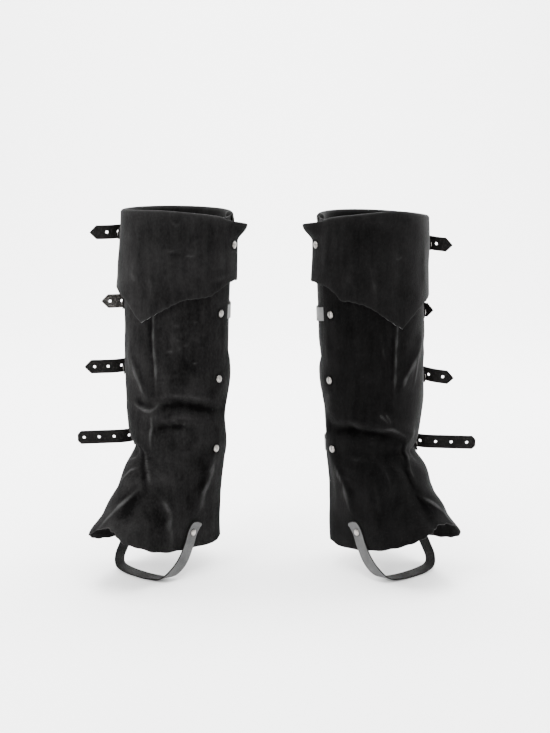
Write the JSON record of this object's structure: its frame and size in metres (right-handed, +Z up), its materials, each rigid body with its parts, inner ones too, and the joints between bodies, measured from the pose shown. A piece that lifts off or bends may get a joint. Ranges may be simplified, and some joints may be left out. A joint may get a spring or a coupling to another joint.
{
  "type": "pair of boot covers",
  "caption": "Knee-high suede boot covers with a pointed turned-down cuff, side-buckled straps round the back and a stirrup strap under the instep, in worn form.",
  "frame": {"origin": "midway between the two covers, level with the third straps, where the wearer's calves hold them up", "axes": "+Z up; -Y the way the wearer faces; +X from the picture's left cover to its right one"},
  "size_m": [0.526, 0.2086, 0.461],
  "materials": {
    "suede": "matte napped suede",
    "strap_leather": "grained, satin",
    "strap_back": "matte uncoated reverse",
    "nickel": "nickel plate"
  },
  "bodies": {
    "root": {"left_shaft": "suede", "left_cuff": "suede", "left_stirrup": "strap_back", "left_strap_1": "strap_leather", "left_buckle_1": "nickel", "left_prong_1": "nickel", "left_chape_1": "strap_back", "left_chape_rivet_1": "nickel", "left_rivet_1": "nickel", "left_strap_2": "strap_leather", "left_buckle_2": "nickel", "left_prong_2": "nickel", "left_chape_2": "strap_back", "left_chape_rivet_2": "nickel", "left_rivet_2": "nickel", "left_strap_3": "strap_leather", "left_buckle_3": "nickel", "left_prong_3": "nickel", "left_chape_3": "strap_back", "left_chape_rivet_3": "nickel", "left_rivet_3": "nickel", "left_strap_4": "strap_leather", "left_buckle_4": "nickel", "left_prong_4": "nickel", "left_chape_4": "strap_back", "left_chape_rivet_4": "nickel", "left_rivet_4": "nickel", "left_stirrup_rivet_inner": "nickel", "left_stirrup_rivet_outer": "nickel", "right_shaft": "suede", "right_cuff": "suede", "right_stirrup": "strap_back", "right_strap_1": "strap_leather", "right_buckle_1": "nickel", "right_prong_1": "nickel", "right_chape_1": "strap_back", "right_chape_rivet_1": "nickel", "right_rivet_1": "nickel", "right_strap_2": "strap_leather", "right_buckle_2": "nickel", "right_prong_2": "nickel", "right_chape_2": "strap_back", "right_chape_rivet_2": "nickel", "right_rivet_2": "nickel", "right_strap_3": "strap_leather", "right_buckle_3": "nickel", "right_prong_3": "nickel", "right_chape_3": "strap_back", "right_chape_rivet_3": "nickel", "right_rivet_3": "nickel", "right_strap_4": "strap_leather", "right_buckle_4": "nickel", "right_prong_4": "nickel", "right_chape_4": "strap_back", "right_chape_rivet_4": "nickel", "right_rivet_4": "nickel", "right_stirrup_rivet_inner": "nickel", "right_stirrup_rivet_outer": "nickel"}
  },
  "joints": []
}
